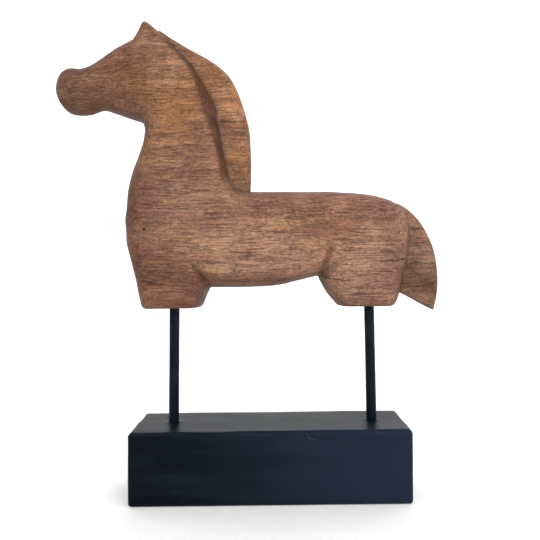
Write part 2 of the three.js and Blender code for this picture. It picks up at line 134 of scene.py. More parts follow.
class Paint:  # a material built of nodes
    def __init__(self, name):
        self.material = bpy.data.materials.new(name)
        self.material.use_nodes = True
        self.tree = self.material.node_tree
        self.tree.nodes.clear()
        self.surface = self.tree.nodes.new("ShaderNodeBsdfPrincipled")
        output = self.tree.nodes.new("ShaderNodeOutputMaterial")
        self.tree.links.new(self.surface.outputs[0], output.inputs[0])

    def node(self, kind, settings=None, sockets=None, output=0):
        made = self.tree.nodes.new(kind)
        for name, value in (settings or {}).items():
            setattr(made, name, value)
        for key, value in (sockets or {}).items():
            self.plug(made.inputs[key], value)
        return Wire(self, made.outputs[output])

    def plug(self, socket, value):
        if isinstance(value, Wire):
            self.tree.links.new(value.socket, socket)
        else:
            socket.default_value = value

    def place(self, scale, wander=None):  # the place on the piece, stretched, after straying by wander
        here = self.node("ShaderNodeTexCoord", output="Object")
        if wander:
            size, reach = wander
            stray = self.node("ShaderNodeTexNoise", {},
                              {"Vector": here, "Scale": size, "Detail": 1}, output=1)
            here = self.node("ShaderNodeVectorMath", {"operation": "MULTIPLY_ADD"},
                             {0: stray, 1: reach, 2: here})
        return self.node("ShaderNodeMapping", {}, {"Vector": here, "Scale": scale})

    def axes(self):
        here = self.node("ShaderNodeTexCoord", output="Object")
        return [self.node("ShaderNodeSeparateXYZ", {}, {0: here}, output=k) for k in range(3)]

    def noise(self, scale, detail=2, roughness=0.5, twist=0, wander=None):
        return self.node("ShaderNodeTexNoise", {},
                         {"Vector": self.place(scale, wander), "Scale": 1, "Detail": detail,
                          "Roughness": roughness, "Distortion": twist})

    def attribute(self, name):
        return self.node("ShaderNodeAttribute", {"attribute_name": name}, output="Fac")

    def blend(self, amount, first, second):
        return self.node("ShaderNodeMix", {"data_type": "RGBA"}, {0: amount, 6: first, 7: second}, output=2)

    def brighten(self, tone, amount):
        return self.node("ShaderNodeVectorMath", {"operation": "SCALE"}, {"Vector": tone, "Scale": amount})

    def line(self, across, up, ends, width):  # 1 on a straight line between two points, 0 beside it
        (ax, az), (bx, bz) = ends
        dx, dz = bx - ax, bz - az
        along = ((across - ax) * dx + (up - az) * dz) / (dx * dx + dz * dz)
        along = self.node("ShaderNodeClamp", {}, {"Value": along})
        sideX, sideZ = across - ax - along * dx, up - az - along * dz
        away = (sideX * sideX + sideZ * sideZ) ** 0.5
        return 1 - away.between(0.2 * width, width)

    def finish(self, height, depth, **sockets):
        bump = self.node("ShaderNodeBump", {}, {"Height": height, "Distance": depth, "Strength": 1})
        for key, value in {"Normal": bump, **sockets}.items():
            self.plug(self.surface.inputs[key.replace("_", " ")], value)
        return self.material


def colour(red, green, blue):
    return (red, green, blue, 1)


# The horse: masses seen from the side, in thousandths of the figure's length. x runs from head to tail
# and z is 0 at the soles. Each outline point is [x, z, how far in the edge is rounded, squareness].

horse = {
    "length": 0.339,
    "setBack": 8,  # from the middle of the block
    "soleHeight": 0.1647,
    "voxel": 4.3,
    "grid": {"x": [-590, 465], "z": [-48, 770], "stepsAside": 26},
    "leastSlope": 0.35,
    "trunkHalf": 92,
    # how fast the painted shade in the creases and the painted highlight along the mane's groove fade
    "shadeAndHighlightFades": {"leg": 6, "tail": 7, "mane": 7, "maneEdge": 4, "grooveHighlight": 2.5},
    "socketRadius": 0.0048,  # in metres
    "socketTop": 76.7,
    "nailHole": [-318, 201],
    "cracks": [
        [127, 78, 160, 70], [160, 70, 197, 65], [273, 112, 336, 119], [354, 194, 403, 196],
        [358, 106, 428, 110], [-330, 72, -290, 66], [316, 182, 323, 187], [-95, 94, -88, 108],
    ],
    "widthSpread": 55,
    "body": [
        [-562, 580, 60, 2], [-557, 604, 60, 2], [-544, 623, 58, 2], [-523, 632, 55, 2],
        [-494, 629.5, 50, 2.1], [-468, 636, 46, 2.2], [-440, 652.5, 46, 2.2], [-400, 678.5, 46, 2.2],
        [-366, 695.5, 40, 2.2], [-335, 708, 34, 2.2], [-308, 713, 24, 2], [-284, 714, 12, 1.6],
        [-255, 684, 10, 1.6], [-219, 651, 12, 1.6], [-191, 616, 15, 1.6], [-171, 583, 19, 1.6],
        [-150, 548, 26, 1.6], [-133, 511, 34, 1.6], [-130, 478, 25, 1.6], [-121, 421, 19, 1.6],
        [-115, 386, 18, 1.6], [-110, 358, 18, 1.6], [-104, 332, 21, 1.7], [-93, 312, 32, 1.9],
        [-77, 303, 45, 2.1], [-50, 300, 58, 2.3], [0, 299, 62, 2.4], [48, 298, 62, 2.4],
        [100, 297, 62, 2.4], [160, 297, 62, 2.4], [226, 292, 60, 2.5], [268, 286, 56, 2.5],
        [296, 278, 50, 2.5], [318, 268, 42, 2.5], [335, 253, 32, 2.5], [347, 227, 28, 2.5],
        [353, 190, 30, 2.5], [354, 155, 32, 2.5], [352, 126, 32, 2.5], [344, 102, 40, 2.4],
        [318, 90, 50, 2.3], [270, 86, 56, 2.3], [216, 84, 60, 2.3], [160, 82, 62, 2.3],
        [118, 78, 62, 2.3], [72, 68, 62, 2.3], [30, 57, 60, 2.3], [-20, 52, 58, 2.3], [-84, 51, 56, 2.3],
        [-140, 51, 54, 2.3], [-190, 51, 50, 2.3], [-240, 52, 46, 2.3], [-290, 58, 44, 2.3],
        [-328, 74, 44, 2.4], [-353, 98, 46, 2.4], [-367, 138, 50, 2.5], [-374, 168, 50, 2.5],
        [-374.5, 200, 50, 2.5], [-374, 250, 50, 2.5], [-369.5, 303, 50, 2.5], [-359, 350, 48, 2.4],
        [-344, 393, 47, 2.3], [-333, 429, 46, 2.2], [-329, 450, 45, 2.2], [-328, 469, 44, 2.2],
        [-335, 485, 45, 2.2], [-352, 492, 45, 2.2], [-376, 500, 45, 2.2], [-408, 511.5, 45, 2.2],
        [-438, 519, 46, 2.2], [-468, 509, 50, 2.1], [-498, 506, 55, 2], [-525, 512, 58, 2],
        [-546, 531, 60, 2], [-559, 556, 60, 2],
    ],
    "foreleg": [
        [-322, -10, 16, 2.4], [-334, 0, 22, 2.4], [-341, 12, 30, 2.4], [-347, 39, 42, 2.5],
        [-353, 71, 48, 2.5], [-361, 104, 50, 2.5], [-368, 138, 50, 2.5], [-374, 168, 50, 2.5],
        [-374.5, 200, 50, 2.5], [-372, 240, 50, 2.5], [-340, 262, 50, 2.5], [-280, 255, 50, 2.5],
        [-225, 220, 40, 2.5], [-206, 168, 26, 2.5], [-197, 132, 18, 2.5], [-187, 104, 16, 2.5],
        [-173, 78, 16, 2.5], [-162, 60, 18, 2.5], [-166, 45, 24, 2.5], [-173, 31, 30, 2.4],
        [-179, 16, 30, 2.4], [-186, 2, 24, 2.4], [-196, -10, 16, 2.4],
    ],
    "haunch": [
        [184, -10, 18, 2.4], [171, 2, 30, 2.4], [161, 12, 40, 2.4], [145, 32, 56, 2.4],
        [130, 59, 64, 2.3], [123, 79, 66, 2.3], [129, 102, 64, 2.3], [138, 126, 62, 2.3],
        [150, 152, 60, 2.3], [168, 180, 56, 2.4], [196, 208, 50, 2.5], [240, 232, 50, 2.5],
        [288, 244, 44, 2.5], [320, 246, 36, 2.5], [338, 238, 30, 2.5], [349, 212, 28, 2.5],
        [354, 180, 30, 2.5], [354, 145, 32, 2.5], [349, 110, 34, 2.5], [340, 80, 38, 2.5],
        [335, 52, 40, 2.4], [331, 30, 36, 2.4], [323, 10, 26, 2.4], [312, -3, 20, 2.4],
        [303, -10, 16, 2.4],
    ],
    "mane": [
        [-292, 728, 16, 2.2], [-259, 708, 18, 2.4], [-220, 683.5, 18, 2.4], [-181, 662.5, 18, 2.4],
        [-150, 643.5, 18, 2.4], [-124, 622, 18, 2.4], [-103, 599, 18, 2.4], [-85, 568, 18, 2.4],
        [-70, 528, 18, 2.4], [-59, 488, 18, 2.4], [-53, 448, 18, 2.4], [-51, 409, 18, 2.4],
        [-51, 357, 18, 2.4], [-52, 318, 18, 2.4], [-55, 290, 18, 2.4], [-72, 276, 18, 2.4],
        [-110, 280, 18, 2.4], [-140, 320, 18, 2.4], [-155, 380, 18, 2.4], [-168, 440, 18, 2.4],
        [-190, 500, 18, 2.4], [-220, 560, 18, 2.4], [-262, 620, 18, 2.4], [-300, 668, 18, 2.4],
        [-312, 705, 16, 2.2],
    ],
    "tail": [
        [270, 270, 20, 2.4], [310, 270, 22, 2.4], [338, 262, 22, 2.4], [364, 244.5, 22, 2.4],
        [389, 218, 22, 2.4], [409, 184, 22, 2.4], [425, 142, 22, 2.4], [434, 95, 22, 2.4],
        [435, 50, 22, 2.4], [427, 3, 22, 2.4], [414, -36, 22, 2.4], [360, -34, 22, 2.4],
        [318, 0, 22, 2.4], [296, 60, 22, 2.4], [282, 140, 22, 2.4], [270, 220, 22, 2.4],
    ],
    "tailFoot": [[300, 52], [418, -13]],
    "ears": [
        [-351, 688, 8, 2.4], [-350, 696, 8, 2.4], [-343, 710, 8, 2.4], [-336, 726, 8, 2.4],
        [-331, 740, 8, 2.4], [-323, 745, 8, 2.4], [-313, 741, 8, 2.4], [-300, 731, 10, 2.4],
        [-286, 719, 16, 2.2], [-270, 700, 26, 2], [-262, 660, 30, 2], [-290, 630, 40, 2],
        [-330, 640, 24, 2],
    ],
    "earGap": {"bottom": 692, "slope": 0.5, "fromTo": [-375, -296]},
    # half of the width across, at places in the side view: [x, z, half width]
    "bodyWidths": [
        [-555, 580, 40], [-520, 575, 47], [-480, 575, 47], [-440, 590, 51], [-390, 600, 59],
        [-340, 600, 66], [-300, 640, 67], [-300, 700, 60], [-260, 560, 68], [-220, 500, 70],
        [-240, 430, 76], [-180, 430, 73], [-250, 350, 84], [-150, 350, 82], [-300, 250, 90],
        [-200, 220, 91], [-100, 200, 91], [0, 180, 92], [120, 180, 92], [220, 180, 93], [300, 170, 92],
        [340, 170, 88], [-280, 100, 88], [-260, 0, 80], [240, 60, 91], [240, 0, 80], [300, 0, 78],
    ],
    "maneWidths": [[-300, 715, 14], [-230, 690, 22], [-150, 600, 26], [-100, 480, 27], [-90, 320, 26]],
    "tailWidths": [[320, 240, 36], [400, 180, 37], [400, 0, 31]],
    "earWidths": [[-310, 640, 64], [-315, 690, 61], [-320, 742, 38]],
    # how far the legs stand out of the trunk: [at the foot, how much less for each thousandth higher,
    # from this height, over this span]
    "legProud": [3, 0.09, 90, 200],
    # between which heights the painted shade on the mane's wall and the painted highlight at its foot fade
    # out
    "wallFoot": [302, 345], "wallTop": [706, 680],
    "grooveHighlightFoot": [290, 320], "grooveHighlightTop": [540, 490],
    # how softly each leg runs into the trunk: [at the foot, from this height, more for each thousandth
    # higher], until the span ends
    "forelegBlend": [3, 75, 0.16],
    "haunchBlend": [3, 105, 0.3],
    "blendSpan": 130,
    # valleys cut by the knife: points, [how deep, how wide, how much painted shade lies in them]
    "valleys": [
        [[[151, 149], [143, 126], [134, 103], [127, 80], [124, 62]], [7, 7, 0.95]],
        [[[-196, 108], [-178, 82], [-160, 54]], [6, 8, 0.85]],
        [[[-232, 607], [-232, 576], [-235, 551], [-248, 525], [-264, 508], [-284, 495], [-305, 480]],
         [2.6, 12, 0.28]],
        [[[-520, 640], [-480, 634], [-452, 612]], [2, 16, 0.2]],
        [[[-365, 300], [-372, 200], [-352, 100]], [-1.5, 10, 0]],
        [[[163, 168], [185, 123], [192, 80], [187, 43], [171, 18]], [-1.8, 9, 0]],
        [[[315, 229], [324, 166], [316, 111], [303, 66], [285, 29]], [-1.8, 9, 0]],
    ],
    "knifeWaves": [[90, 1.1, 3], [38, 0.55, 4], [17, 0.22, 5]],  # [how long, how high, seed]
    # dark stains, warm patches, darker wood with painted shade, and greyed wood: [x, z, how far, how strong]
    "stains": [
        [-250, 672, 16, 0.3], [-205, 620, 14, 0.3], [-176, 545, 14, 0.5], [-120, 480, 12, 0.7],
        [-150, 470, 14, 0.4], [-255, 309, 7, 0.7], [264, 205, 8, 0.6], [-91, 96, 9, 0.6],
        [-540, 530, 26, 0.5], [-330, 455, 22, 0.4], [400, 30, 26, 0.35], [-60, 330, 26, 0.4],
        [367, 195, 13, 0.7], [368, 160, 12, 0.6], [366, 125, 12, 0.6], [358, 90, 12, 0.6],
        [346, 60, 12, 0.6], [134, 84, 10, 0.6],
    ],
    "warmPatches": [
        [-250, 490, 40, 0.9], [-214, 535, 36, 0.7], [-330, 560, 34, 0.4], [-345, 590, 30, 0.4],
        [-300, 400, 30, 0.4], [-150, 640, 46, 0.7], [-90, 540, 46, 0.7], [-75, 380, 40, 0.8],
        [180, 170, 50, 0.3],
    ],
    # darker wood on the head, and painted shade along the jaw, the chest's front edge and the undersides
    "darkAndShadedPatches": [
        [-400, 570, 60, 0.8], [-530, 560, 50, 0.8], [-340, 640, 50, 0.5], [-350, 540, 40, 0.6],
        [-500, 520, 24, 0.9], [-440, 526, 24, 0.9], [-392, 512, 22, 0.9], [-346, 494, 20, 0.9],
        [-366, 320, 24, 0.9], [-372, 250, 22, 0.8], [-372, 180, 22, 0.8], [-362, 110, 24, 0.8],
        [-300, 60, 55, 0.9], [-215, 50, 45, 0.9], [-150, 630, 34, 0.7], [-230, 450, 60, 0.4],
        [-170, 300, 50, 0.5], [-300, 330, 50, 0.5], [240, 10, 40, 0.3], [260, 20, 70, 0.35],
        [0, 60, 30, 0.3], [-80, 60, 30, 0.3], [400, 120, 50, 0.4], [400, 20, 50, 0.5],
        [-340, 240, 50, 0.4], [-540, 530, 40, 0.7],
    ],
    "greyPatches": [
        [52, 118, 16, 0.9], [-17, 104, 10, 0.9], [-9, 205, 8, 0.7], [-530, 560, 50, 0.7],
        [-230, 280, 60, 0.5], [10, 130, 60, 0.4], [250, 130, 70, 0.6], [390, 100, 60, 1],
        [-120, 110, 60, 0.4], [200, 60, 60, 0.5],
    ],
}


def smoothOutline(points, steps=4):
    # a closed Catmull-Rom curve through the points, with the roundings carried along
    here = np.array(points, dtype=float)
    a, b, c, d = (np.roll(here, shift, axis=0)[:, None] for shift in (1, 0, -1, -2))
    t = (np.arange(steps) / steps)[None, :, None]
    curve = b + 0.5 * t * (c - a + t * (2 * a - 5 * b + 4 * c - d + t * (3 * (b - c) + d - a)))
    return curve.reshape(-1, 4)


def placeInOutline(outline, x, z):
    # distance to the outline as a share of the rounding there, negative outside, and the squareness
    share = np.full(x.shape, np.inf)
    squareness = np.full(x.shape, 2.0)
    inside = np.zeros(x.shape, dtype=bool)
    for (ax, az, aRound, aSquare), (bx, bz, bRound, bSquare) in zip(outline, np.roll(outline, -1, axis=0)):
        if az != bz:
            inside ^= ((az > z) != (bz > z)) & (x < ax + (bx - ax) * (z - az) / (bz - az))
        away, along = segmentDistance(x, z, ax, az, bx, bz)
        here = away / (aRound + (bRound - aRound) * along)
        squareness = np.where(here < share, aSquare + (bSquare - aSquare) * along, squareness)
        share = np.minimum(share, here)
    return np.where(inside, share, -share), squareness


def widthAt(widths, spread, x, z):
    # the widths given nearby, each weighted by a bell curve of its distance
    wx, wz, half = np.array(widths, dtype=float).T
    weights = np.exp(-((x[..., None] - wx) ** 2 + (z[..., None] - wz) ** 2) / (2 * spread ** 2)) + 1e-9
    return (weights * half).sum(-1) / weights.sum(-1)


def mass(points, half, x, y, z):
    # flat sides that turn in towards the outline as a superellipse: positive inside, 0 on the surface
    share, squareness = placeInOutline(smoothOutline(points), x, z)
    power = squareness[:, None, :]
    sideways = np.abs(y)[None, :, None] / half[:, None, :]
    inwards = np.maximum(0, 1 - share)[:, None, :]
    return half[:, None, :] * (1 - (sideways ** power + inwards ** power) ** (1 / power))


def cutAway(body, x, y, z):
    # takes out the gap between the ears, the sockets of the rods and all that is below the soles
    gap = horse["earGap"]
    wedge = np.minimum(gap["slope"] * (z - gap["bottom"]) - np.abs(y),
                       np.minimum(x - gap["fromTo"][0], gap["fromTo"][1] - x))
    body = np.minimum(body, -wedge)
    for rod in rodPlaces():
        axis = rod["soleX"] + z * math.tan(rod["lean"])
        outside = np.hypot(x - axis, y) - horse["socketRadius"] / horse["length"] * 1000
        body = np.minimum(body, np.maximum(outside, z - horse["socketTop"]))
    return np.minimum(body, z)


def cutTailFoot(tail, x, z):
    # leaves what is above the slanting line under the tail
    (footX, footZ), (endX, endZ) = horse["tailFoot"]
    footLength = math.hypot(endX - footX, endZ - footZ)
    return np.minimum(tail, ((x - footX) * (footZ - endZ) + (z - footZ) * (endX - footX)) / footLength)


def valleysAt(x, z):
    # how deep the knife's valleys are and how much painted shade lies in them, by the distance to each one's
    # line
    depth, shade = np.zeros(x.shape), np.zeros(x.shape)
    for points, (deep, wide, mostShade) in horse["valleys"]:
        away = np.min([segmentDistance(x, z, *a, *b)[0] for a, b in zip(points, points[1:])], axis=0)
        depth += deep * np.exp(-(away / wide) ** 2)
        shade = np.maximum(shade, mostShade * np.exp(-away / wide * 1.2))
    return depth, shade


def carvedField():
    # the masses joined on a grid: the larger value wins, and where two are alike they run together. The
    # value is 0 on the surface and positive inside. Beside it: the painted shade in each crease, the painted
    # highlight along the mane's groove and the painted shade on turned edges, most where they face down
    step = horse["voxel"]
    fades = horse["shadeAndHighlightFades"]
    grid = horse["grid"]
    across = np.arange(*grid["x"], step)
    sideways = (np.arange(2 * grid["stepsAside"] + 1) - grid["stepsAside"]) * step
    upwards = np.arange(*grid["z"], step)
    x, z = np.meshgrid(across, upwards, indexing="ij")
    spread = horse["widthSpread"]
    bodyHalf = widthAt(horse["bodyWidths"], spread, x, z)
    proud, less, above, span = horse["legProud"]
    legHalf = bodyHalf + proud - less * np.clip(z - above, 0, span)
    trunk = mass(horse["body"], bodyHalf, x, sideways, z)
    foreleg, haunch = (mass(horse[leg], legHalf, x, sideways, z) for leg in ("foreleg", "haunch"))
    ears = mass(horse["ears"], widthAt(horse["earWidths"], spread / 2, x, z), x, sideways, z)
    mane = mass(horse["mane"], widthAt(horse["maneWidths"], spread, x, z), x, sideways, z)
    tail = mass(horse["tail"], widthAt(horse["tailWidths"], spread, x, z), x, sideways, z)
    share, _ = placeInOutline(smoothOutline(horse["body"]), x, z)
    inMane, _ = placeInOutline(smoothOutline(horse["mane"]), x, z)
    # painted shade on the mane's wall, the steep side of the groove between neck and mane
    paintedWallShade = smoothStep(1.2, 1.05, share) * smoothStep(-0.3, 0.2, inMane)
    paintedWallShade = (paintedWallShade * smoothStep(*horse["wallFoot"], z) * smoothStep(*horse["wallTop"], z))[:, None, :]
    valleyDepth, valleyShade = valleysAt(x, z)
    x, y, z = x[:, None, :], sideways[None, :, None], z[:, None, :]
    body = np.maximum(trunk, ears)
    # painted shade in the creases, gathered wherever two masses meet
    paintedCreaseShade = np.zeros(body.shape)
    for leg, (blend, above, more) in ((foreleg, horse["forelegBlend"]), (haunch, horse["haunchBlend"])):
        soft = blend + more * np.clip(z - above, 0, horse["blendSpan"])
        paintedCreaseShade = np.maximum(paintedCreaseShade, np.exp(-np.abs(body - leg) / fades["leg"]) * blend / soft * 0.6)
        body = np.maximum(body, leg) + np.maximum(0, soft - np.abs(body - leg)) ** 2 / (4 * soft)
    onSide = smoothStep(0.45, 0.8, np.abs(y) / horse["trunkHalf"])
    body = body - valleyDepth[:, None, :] * onSide
    # painted shade in the knife's valleys, on the flat sides
    paintedCreaseShade = np.maximum(paintedCreaseShade, valleyShade[:, None, :] * onSide)
    body = cutAway(body, x, y, z)
    tail = cutTailFoot(tail, x, z)
    # painted shade in the crease between the rump and the tail
    paintedCreaseShade = np.maximum(paintedCreaseShade, np.exp(-np.abs(body - tail) / fades["tail"]))
    # painted shade on the mane's wall and where the neck sinks under the mane
    besideMane = np.where(body > mane, paintedWallShade * 0.8, np.exp((body - mane) / fades["mane"]))
    paintedCreaseShade = np.maximum(paintedCreaseShade, besideMane)
    # painted shade along the mane's edge
    paintedCreaseShade = np.maximum(paintedCreaseShade, np.exp(-np.abs(body - mane) / fades["maneEdge"]))
    # painted highlight: a pale line along the groove where neck and mane meet
    grooveHighlight = np.exp(-np.abs(body - mane) / fades["grooveHighlight"])
    field = np.maximum(np.maximum(body, mane), tail)
    slopes = np.sqrt(sum(slope ** 2 for slope in np.gradient(field, step)))
    field = field / np.maximum(slopes, horse["leastSlope"])
    near = np.abs(field) < 4 * step
    where = np.stack(np.broadcast_arrays(x, y, z), axis=-1)[near]
    keep = smoothStep(2, 10, where[:, 2])  # the soles stay flat
    waves = sum(height * softNoise(where, size, seed) for size, height, seed in horse["knifeWaves"])
    field[near] += waves * keep
    turned = 1 - np.abs(np.gradient(field, step, axis=1))  # 0 on the flat sides, 1 on the edges between them
    facingUp = -np.gradient(field, step, axis=2)
    # painted shade on edges that turn away from the flat sides, darker where they face down
    paintedEdgeShade = smoothStep(0.25, 1, turned) * (0.3 + 0.7 * smoothStep(0.35, -0.2, facingUp))
    return field, paintedCreaseShade, grooveHighlight, paintedEdgeShade, (across[0], sideways[0], upwards[0])


def rodPlaces():
    # a rod's axis leans about its point on the sole
    return [{"name": "front_rod", "soleX": -257, "lean": math.radians(1.0)},
            {"name": "rear_rod", "soleX": 255, "lean": math.radians(-0.55)}]


def sampled(values, indexes):
    # the grid's values between its points, blended along each axis
    low = np.clip(np.floor(indexes).astype(int), 0, np.array(values.shape) - 2)
    part = indexes - low
    total = 0
    for corner in np.ndindex(2, 2, 2):
        weight = np.prod(np.where(np.array(corner) == 1, part, 1 - part), axis=-1)
        at = low + corner
        total = total + weight * values[at[:, 0], at[:, 1], at[:, 2]]
    return total


def blobs(table, x, z):
    # bell-shaped patches added up, from 0 to 1
    return np.clip(sum(strong * np.exp(-((x - bx) ** 2 + (z - bz) ** 2) / (2 * far ** 2))
                       for bx, bz, far, strong in table), 0, 1)


def makeHorse():
    # the surface on which the field is 0, as quads, with what its material needs read at each corner
    field, paintedCreaseShade, grooveHighlight, paintedEdgeShade, (startX, startY, startZ) = carvedField()
    step = horse["voxel"]
    grid = openvdb.FloatGrid(3 * step)
    grid.copyFromArray(np.clip(-field, -3 * step, 3 * step).astype(np.float32))
    indexes, quads = grid.convertToQuads(isovalue=0.0)
    place = indexes * step + (startX, startY, startZ)
    x, y, z = place.T
    points = place * horse["length"] / 1000
    points[:, 0] += horse["setBack"] * horse["length"] / 1000
    points[:, 2] += horse["soleHeight"]
    nearSide = np.where(y < 6, 1, 0.35)
    attributes = {
        "creaseShade": sampled(paintedCreaseShade, indexes),
        # painted highlight along the mane's groove, only in its lower part
        "grooveHighlight": (sampled(grooveHighlight, indexes) * smoothStep(*horse["grooveHighlightTop"], z)
                 * smoothStep(*horse["grooveHighlightFoot"], z)),
        "stain": blobs(horse["stains"], x, z) * nearSide,
        "warm": blobs(horse["warmPatches"], x, z),
        # partly darker wood on the head, partly painted shade on the jaw, chest front, undersides and turned
        # edges
        "deep": np.clip(blobs(horse["darkAndShadedPatches"], x, z) + sampled(paintedEdgeShade, indexes), 0, 1.7),
        "grey": blobs(horse["greyPatches"], x, z),
    }
    piece = meshPiece("horse_carving", points, quads, woodMaterial(), attributes)
    print("horse:", len(quads), "quads")
    return piece


def onFigure(x, z):
    # from thousandths of the figure's length to metres over the ground
    size = horse["length"] / 1000
    return (x + horse["setBack"]) * size, z * size + horse["soleHeight"]


def woodMaterial():
    # long fibres along X that stray a little, darker and lighter bands, pale flecks and fine cracks
    wood = Paint("waxedWood")
    x, y, z = wood.axes()
    drift = (9, (0.004, 0.006, 0.011))
    fibres = wood.noise((230, 1200, 1200), detail=2, roughness=0.6, wander=drift).between(0.34, 0.66)
    streaks = wood.noise((55, 460, 460), detail=3, roughness=0.65, wander=drift).between(0.32, 0.68)
    bands = wood.noise((6, 90, 90), detail=2, wander=drift)
    patches = wood.noise((20, 20, 30), detail=3, roughness=0.55)
    darkLines = wood.noise((34, 1150, 1150), detail=2, roughness=0.55, wander=drift).between(0.55, 0.66)
    flecks = wood.noise((150, 900, 900), detail=1, wander=drift).between(0.56, 0.7)
    specks = wood.noise((430, 620, 620), detail=2, roughness=0.6).between(0.3, 0.7)
    bloom = wood.noise((60, 110, 110), detail=4, roughness=0.65)
    ochre = wood.noise((30, 120, 120), detail=3, roughness=0.6, wander=drift).between(0.52, 0.66)
    lively = wood.noise((24, 45, 45), detail=1).between(0.35, 0.65)  # where the grain stands out
    mottles = wood.noise((70, 130, 130), detail=3, roughness=0.6, twist=1.2).between(0.3, 0.7)
    creaseShade, grooveHighlight, stain, warm, deep, grey = (wood.attribute(name)
                                             for name in ("creaseShade", "grooveHighlight", "stain", "warm", "deep", "grey"))
    tone = wood.blend(patches.between(0.36, 0.64), colour(0.165, 0.072, 0.048), colour(0.262, 0.136, 0.083))
    tone = wood.blend(ochre * 0.4, tone, colour(0.37, 0.21, 0.095))
    tone = wood.blend(warm * 0.75, tone, colour(0.34, 0.155, 0.06))
    tone = wood.blend(grey * 0.45, tone, colour(0.27, 0.17, 0.128))
    tone = wood.blend(bands.between(0.45, 0.62) * 0.5, tone, colour(0.13, 0.052, 0.03))
    grain = (fibres * 0.45 + streaks * 0.4) * (lively * 0.5 + 0.7)
    tone = wood.brighten(tone, 0.3 + grain + specks * 0.5 + mottles * 0.26)
    tone = wood.blend(darkLines * (lively * 0.35 + 0.25), tone, colour(0.055, 0.024, 0.021))
    tone = wood.blend(flecks * bloom.between(0.4, 0.6) * 0.4, tone, colour(0.5, 0.36, 0.24))
    # painted shade, with some darker wood on the head: darker and redder along the jaw, chest front,
    # undersides and turned edges
    tone = wood.brighten(tone, 1 - deep * 0.3)
    tone = wood.blend(deep * 0.34, tone, colour(0.1, 0.034, 0.016))
    tone = wood.blend(stain * bands.between(0.3, 0.55) * 0.7, tone, colour(0.03, 0.017, 0.014))
    # painted shade in the creases, darkening the wood there
    tone = wood.blend(creaseShade * 0.8, tone, colour(0.042, 0.016, 0.01))
    # painted highlight: a pale line along the mane's groove
    tone = wood.blend(grooveHighlight * bloom.between(0.3, 0.45) * 0.6, tone, colour(0.3, 0.25, 0.22))
    wobble = (wood.noise((120, 120, 120), detail=3) - 0.5) * 0.005
    cracks = 0
    for ax, az, bx, bz in horse["cracks"]:
        ends = (onFigure(ax, az), onFigure(bx, bz))
        cracks = wood.line(x, z + wobble, ends, 0.0006).most(cracks)
    cracks = cracks * bloom.between(0.3, 0.5) * 0.8
    holeX, holeZ = onFigure(*horse["nailHole"])
    hole = 1 - (((x - holeX) ** 2 + (z - holeZ) ** 2) ** 0.5).between(0.0008, 0.0017)
    cracks = cracks.most(hole) * (0 - y).between(0.004, 0.008)
    tone = wood.blend(cracks * 0.9, tone, colour(0.012, 0.008, 0.007))
    height = fibres * 0.3 + streaks * 0.35 - darkLines * 0.7 - cracks * 1.5
    return wood.finish(height, 0.0005, Base_Color=tone, Roughness=bloom * 0.2 + creaseShade * 0.3 + 0.42,
                       Specular_IOR_Level=0.12)


# The rods

rods = {
    "radius": 0.0045, "below": 0.1344, "above": 0.0257, "endRound": 0.0008,
    "sides": 48, "rings": 160,
    "paintWave": [0.00006, 0.004, 11],  # [how high, how long, seed]
}


def makeRods():
    # a circle carried along a straight axis, its ends rounded
    paint = rodMaterial()
    rounding = rods["endRound"]
    waveHeight, waveLength, seed = rods["paintWave"]
    pieces = []
    for rod in rodPlaces():
        along = np.linspace(-rods["below"], rods["above"], rods["rings"])
        turn = np.linspace(0, 2 * math.pi, rods["sides"], endpoint=False)
        ends = np.minimum(along - along[0], along[-1] - along)
        turnedIn = 1 - np.sqrt(1 - np.clip(1 - ends / rounding, 0, 1) ** 2)
        radius = rods["radius"] - rounding * turnedIn
        s, a = np.meshgrid(along, turn, indexing="ij")
        r = np.repeat(radius[:, None], len(turn), axis=1)
        ring = np.stack([r * np.cos(a), r * np.sin(a), s], axis=-1)
        r = r + waveHeight * softNoise(ring * (1, 1, 0.35), waveLength, seed)
        lean = rod["lean"]
        flat, up = r * np.cos(a), s
        points = np.stack([flat * math.cos(lean) + up * math.sin(lean), r * np.sin(a),
                           up * math.cos(lean) - flat * math.sin(lean)], axis=-1).reshape(-1, 3)
        points += ((rod["soleX"] + horse["setBack"]) * horse["length"] / 1000, 0, horse["soleHeight"])
        i, j = np.meshgrid(np.arange(len(along) - 1), np.arange(len(turn)), indexing="ij")
        n = len(turn)
        onward = (j + 1) % n
        quads = np.stack([i * n + j, i * n + onward, (i + 1) * n + onward, (i + 1) * n + j], axis=-1)
        quads = capped(quads.reshape(-1, 4), n, len(along))
        piece = meshPiece(rod["name"] + "_painted", points, quads, paint)
        pieces.append((piece, rod["name"]))
    print("rods:", len(pieces))
    return pieces


def capped(quads, around, rings):
    # closes both ends with quads between facing points of the last circle
    k = np.arange(around // 2 - 1)
    first = np.stack([k, k + 1, around - 2 - k, around - 1 - k], axis=-1)
    last = (rings - 1) * around + first
    return np.concatenate([quads, first[:, ::-1], last])


def rodMaterial():
    paint = Paint("rodPaint")
    grime = paint.noise((60, 60, 25), detail=3)
    drips = paint.noise((400, 400, 60), detail=2)
    tone = paint.blend(grime.between(0.45, 0.75) * 0.5,
                       colour(0.0035, 0.0065, 0.013), colour(0.009, 0.0155, 0.03))
    return paint.finish(drips, 0.00006, Base_Color=tone, Roughness=grime * 0.14 + 0.2,
                        Specular_IOR_Level=0.06)


# The block

